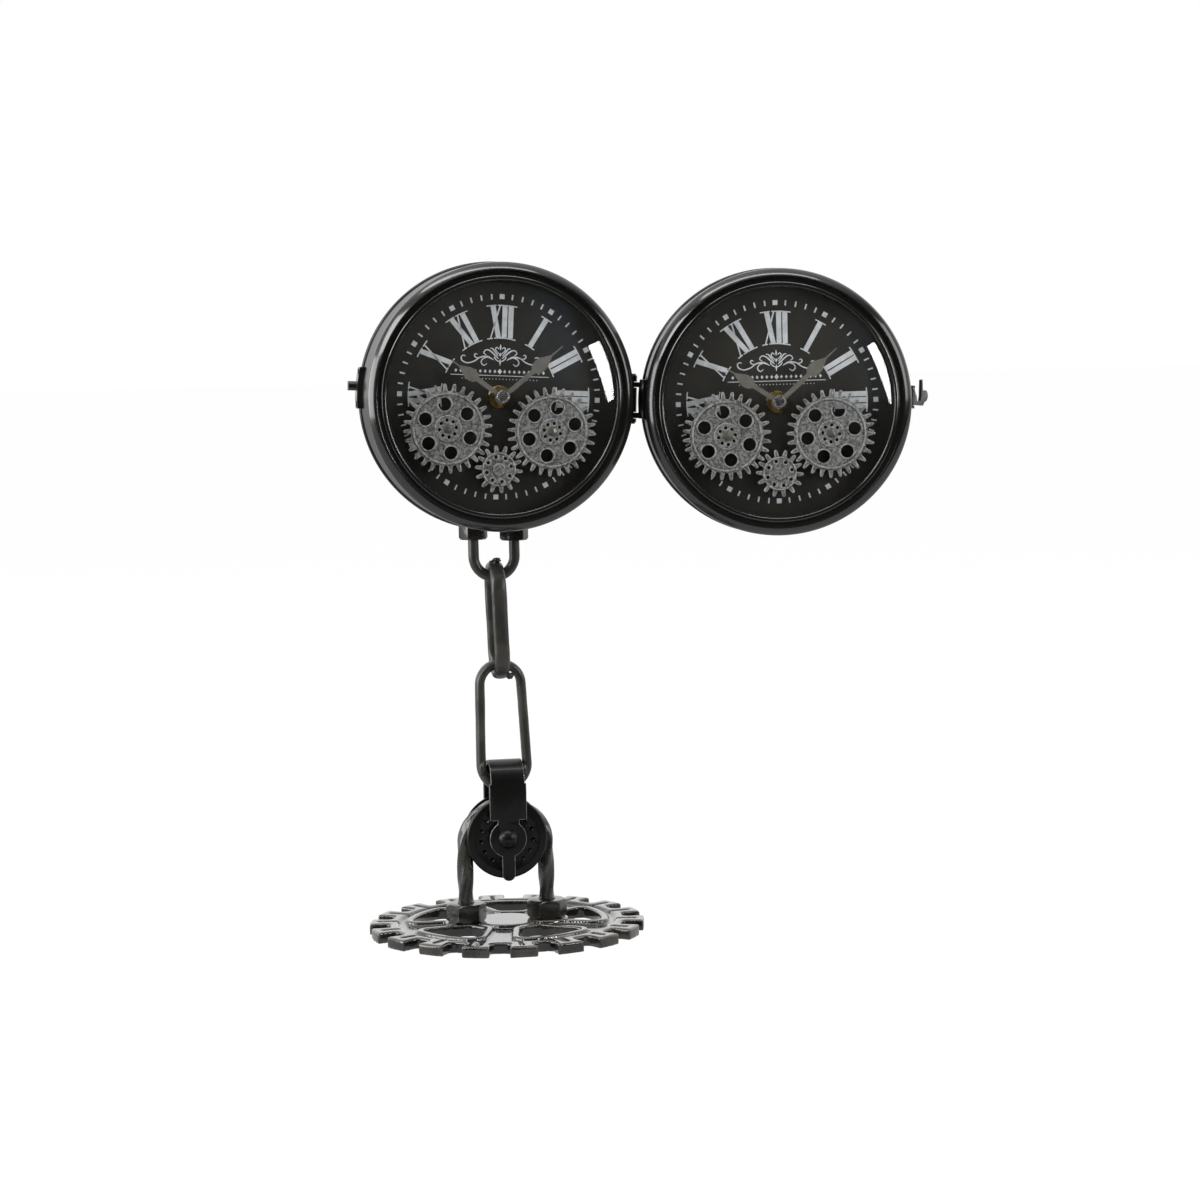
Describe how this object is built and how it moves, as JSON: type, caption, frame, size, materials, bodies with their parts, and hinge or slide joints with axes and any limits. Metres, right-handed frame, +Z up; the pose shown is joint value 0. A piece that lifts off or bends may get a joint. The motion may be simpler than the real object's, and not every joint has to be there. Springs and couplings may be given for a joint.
{
  "type": "table clock",
  "caption": "Pair of round drum clocks hinged side by side, with open gears on the dials, on a chain and pulley stand with a gear-shaped base.",
  "frame": {"origin": "middle of the base gear, on the surface that it stands on", "axes": "+X right along the pair of clocks, +Y to the rear, +Z up; the dials face -Y"},
  "size_m": [0.4024, 0.188, 0.4569],
  "materials": {
    "base_iron": "gloss black over a pitted casting",
    "nut_steel": "satin black",
    "bar_steel": "satin black twisted bar",
    "pulley_black": "satin black",
    "link_black": "satin black",
    "drum_black": "satin black",
    "bezel_black": "satin black",
    "clear_glass": "clear, domed",
    "seal_rubber": "matte",
    "dial_black": "black with pale numerals",
    "gear_pewter": "antique pewter, mottled",
    "hand_grey": "warm grey",
    "cap_steel": "polished",
    "nut_brass": "satin",
    "post_steel": "satin",
    "movement_plastic": "matte black",
    "knob_plastic": "gloss black",
    "switch_plastic": "gloss white",
    "cell_jacket": "plain printed jacket",
    "cover_plastic": "matte black",
    "screw_steel": "blackened",
    "latch_black": "satin black"
  },
  "bodies": {
    "stand": {"base_gear": "base_iron", "base_nuts": "nut_steel", "twisted_arch": "bar_steel", "pulley_wheel": "pulley_black", "pulley_axle": "pulley_black", "pulley_strap": "pulley_black", "lower_link": "link_black", "upper_link": "link_black", "top_u_bolt": "link_black", "u_bolt_nuts": "nut_steel", "left_hinge_leaf": "latch_black", "hinge_pin": "latch_black", "catch_plate": "latch_black", "left_drum": "drum_black", "left_bezel": "bezel_black", "left_glass": "clear_glass", "left_gasket": "seal_rubber", "left_dial": "dial_black", "left_gear_posts": "post_steel", "left_hand_nut": "nut_brass", "left_movement": "movement_plastic", "left_gear_motor": "movement_plastic", "left_cells": "cell_jacket", "left_back_cover": "cover_plastic", "left_back_screws": "screw_steel"},
    "right_clock": {"right_drum": "drum_black", "right_bezel": "bezel_black", "right_glass": "clear_glass", "right_gasket": "seal_rubber", "right_dial": "dial_black", "right_gear_posts": "post_steel", "right_hand_nut": "nut_brass", "right_movement": "movement_plastic", "right_gear_motor": "movement_plastic", "right_cells": "cell_jacket", "right_back_cover": "cover_plastic", "right_back_screws": "screw_steel", "right_hinge_leaf": "latch_black", "hook_plate": "latch_black"},
    "hook": {"latch_hook": "latch_black"},
    "left_minute": {"left_minute_hand": "hand_grey", "left_minute_arbor": "cap_steel"},
    "left_hour": {"left_hour_hand": "hand_grey"},
    "left_setting": {"left_set_knob": "knob_plastic"},
    "left_drive": {"left_drive_gear": "gear_pewter"},
    "left_small": {"left_small_gear": "gear_pewter"},
    "left_far": {"left_far_gear": "gear_pewter"},
    "left_switch": {"left_motor_switch": "switch_plastic"},
    "right_minute": {"right_minute_hand": "hand_grey", "right_minute_arbor": "cap_steel"},
    "right_hour": {"right_hour_hand": "hand_grey"},
    "right_setting": {"right_set_knob": "knob_plastic"},
    "right_drive": {"right_drive_gear": "gear_pewter"},
    "right_small": {"right_small_gear": "gear_pewter"},
    "right_far": {"right_far_gear": "gear_pewter"},
    "right_switch": {"right_motor_switch": "switch_plastic"}
  },
  "joints": [
    {"name": "fold", "type": "hinge", "parent": "stand", "child": "right_clock", "pos_m": [0.09842, 0.0206, 0.36149], "axis": [0.0401, 0, 0.9992], "range_deg": [-6, 189]},
    {"name": "hook_swing", "type": "hinge", "parent": "right_clock", "child": "hook", "pos_m": [0.28854, -0.01338, 0.35385], "axis": [0.0401, 0, 0.9992], "range_deg": [-55, 35]},
    {"name": "left_minute_turn", "type": "hinge", "parent": "stand", "child": "left_minute", "pos_m": [0.001, -0.0288, 0.3654], "axis": [0, 1, 0], "continuous": true},
    {"name": "left_hour_turn", "type": "hinge", "parent": "stand", "child": "left_hour", "pos_m": [0.001, -0.0268, 0.3654], "axis": [0, 1, 0], "continuous": true},
    {"name": "left_set_turn", "type": "hinge", "parent": "stand", "child": "left_setting", "pos_m": [0.01892, 0.006, 0.38142], "axis": [0, 1, 0], "continuous": true},
    {"name": "left_drive_turn", "type": "hinge", "parent": "stand", "child": "left_drive", "pos_m": [-0.03537, -0.0195, 0.3454], "axis": [0, 1, 0], "continuous": true},
    {"name": "left_small_turn", "type": "hinge", "parent": "stand", "child": "left_small", "pos_m": [-0.00169, -0.0195, 0.31738], "axis": [0, 1, 0], "continuous": true},
    {"name": "left_far_turn", "type": "hinge", "parent": "stand", "child": "left_far", "pos_m": [0.03492, -0.0195, 0.34147], "axis": [0, 1, 0], "continuous": true},
    {"name": "left_switch_slide", "type": "slide", "parent": "stand", "child": "left_switch", "axis": [0.0558, 0, 0.9984], "range_m": [0, 0.004]},
    {"name": "right_minute_turn", "type": "hinge", "parent": "right_clock", "child": "right_minute", "pos_m": [0.18692, -0.04344, 0.35793], "axis": [0.1563, 0.9877, -0.0063], "continuous": true},
    {"name": "right_hour_turn", "type": "hinge", "parent": "right_clock", "child": "right_hour", "pos_m": [0.18723, -0.04147, 0.35792], "axis": [0.1563, 0.9877, -0.0063], "continuous": true},
    {"name": "right_set_turn", "type": "hinge", "parent": "right_clock", "child": "right_setting", "pos_m": [0.20907, -0.01161, 0.37481], "axis": [0.1563, 0.9877, -0.0063], "continuous": true},
    {"name": "right_drive_turn", "type": "hinge", "parent": "right_clock", "child": "right_drive", "pos_m": [0.15371, -0.02891, 0.33567], "axis": [0.1563, 0.9877, -0.0063], "continuous": true},
    {"name": "right_small_turn", "type": "hinge", "parent": "right_clock", "child": "right_small", "pos_m": [0.1886, -0.0346, 0.30978], "axis": [0.1563, 0.9877, -0.0063], "continuous": true},
    {"name": "right_far_turn", "type": "hinge", "parent": "right_clock", "child": "right_far", "pos_m": [0.22325, -0.03992, 0.33608], "axis": [0.1563, 0.9877, -0.0063], "continuous": true},
    {"name": "right_switch_slide", "type": "slide", "parent": "right_clock", "child": "right_switch", "axis": [-0.0047, 0.0071, 1], "range_m": [0, 0.004]}
  ],
  "couplings": [
    {"joint": "left_hour_turn", "follows": "left_minute_turn", "ratio": 0.083333},
    {"joint": "left_set_turn", "follows": "left_minute_turn", "ratio": -1},
    {"joint": "left_small_turn", "follows": "left_drive_turn", "ratio": -2},
    {"joint": "left_far_turn", "follows": "left_drive_turn", "ratio": 1},
    {"joint": "right_hour_turn", "follows": "right_minute_turn", "ratio": 0.083333},
    {"joint": "right_set_turn", "follows": "right_minute_turn", "ratio": -1},
    {"joint": "right_small_turn", "follows": "right_drive_turn", "ratio": -2},
    {"joint": "right_far_turn", "follows": "right_drive_turn", "ratio": 1}
  ]
}
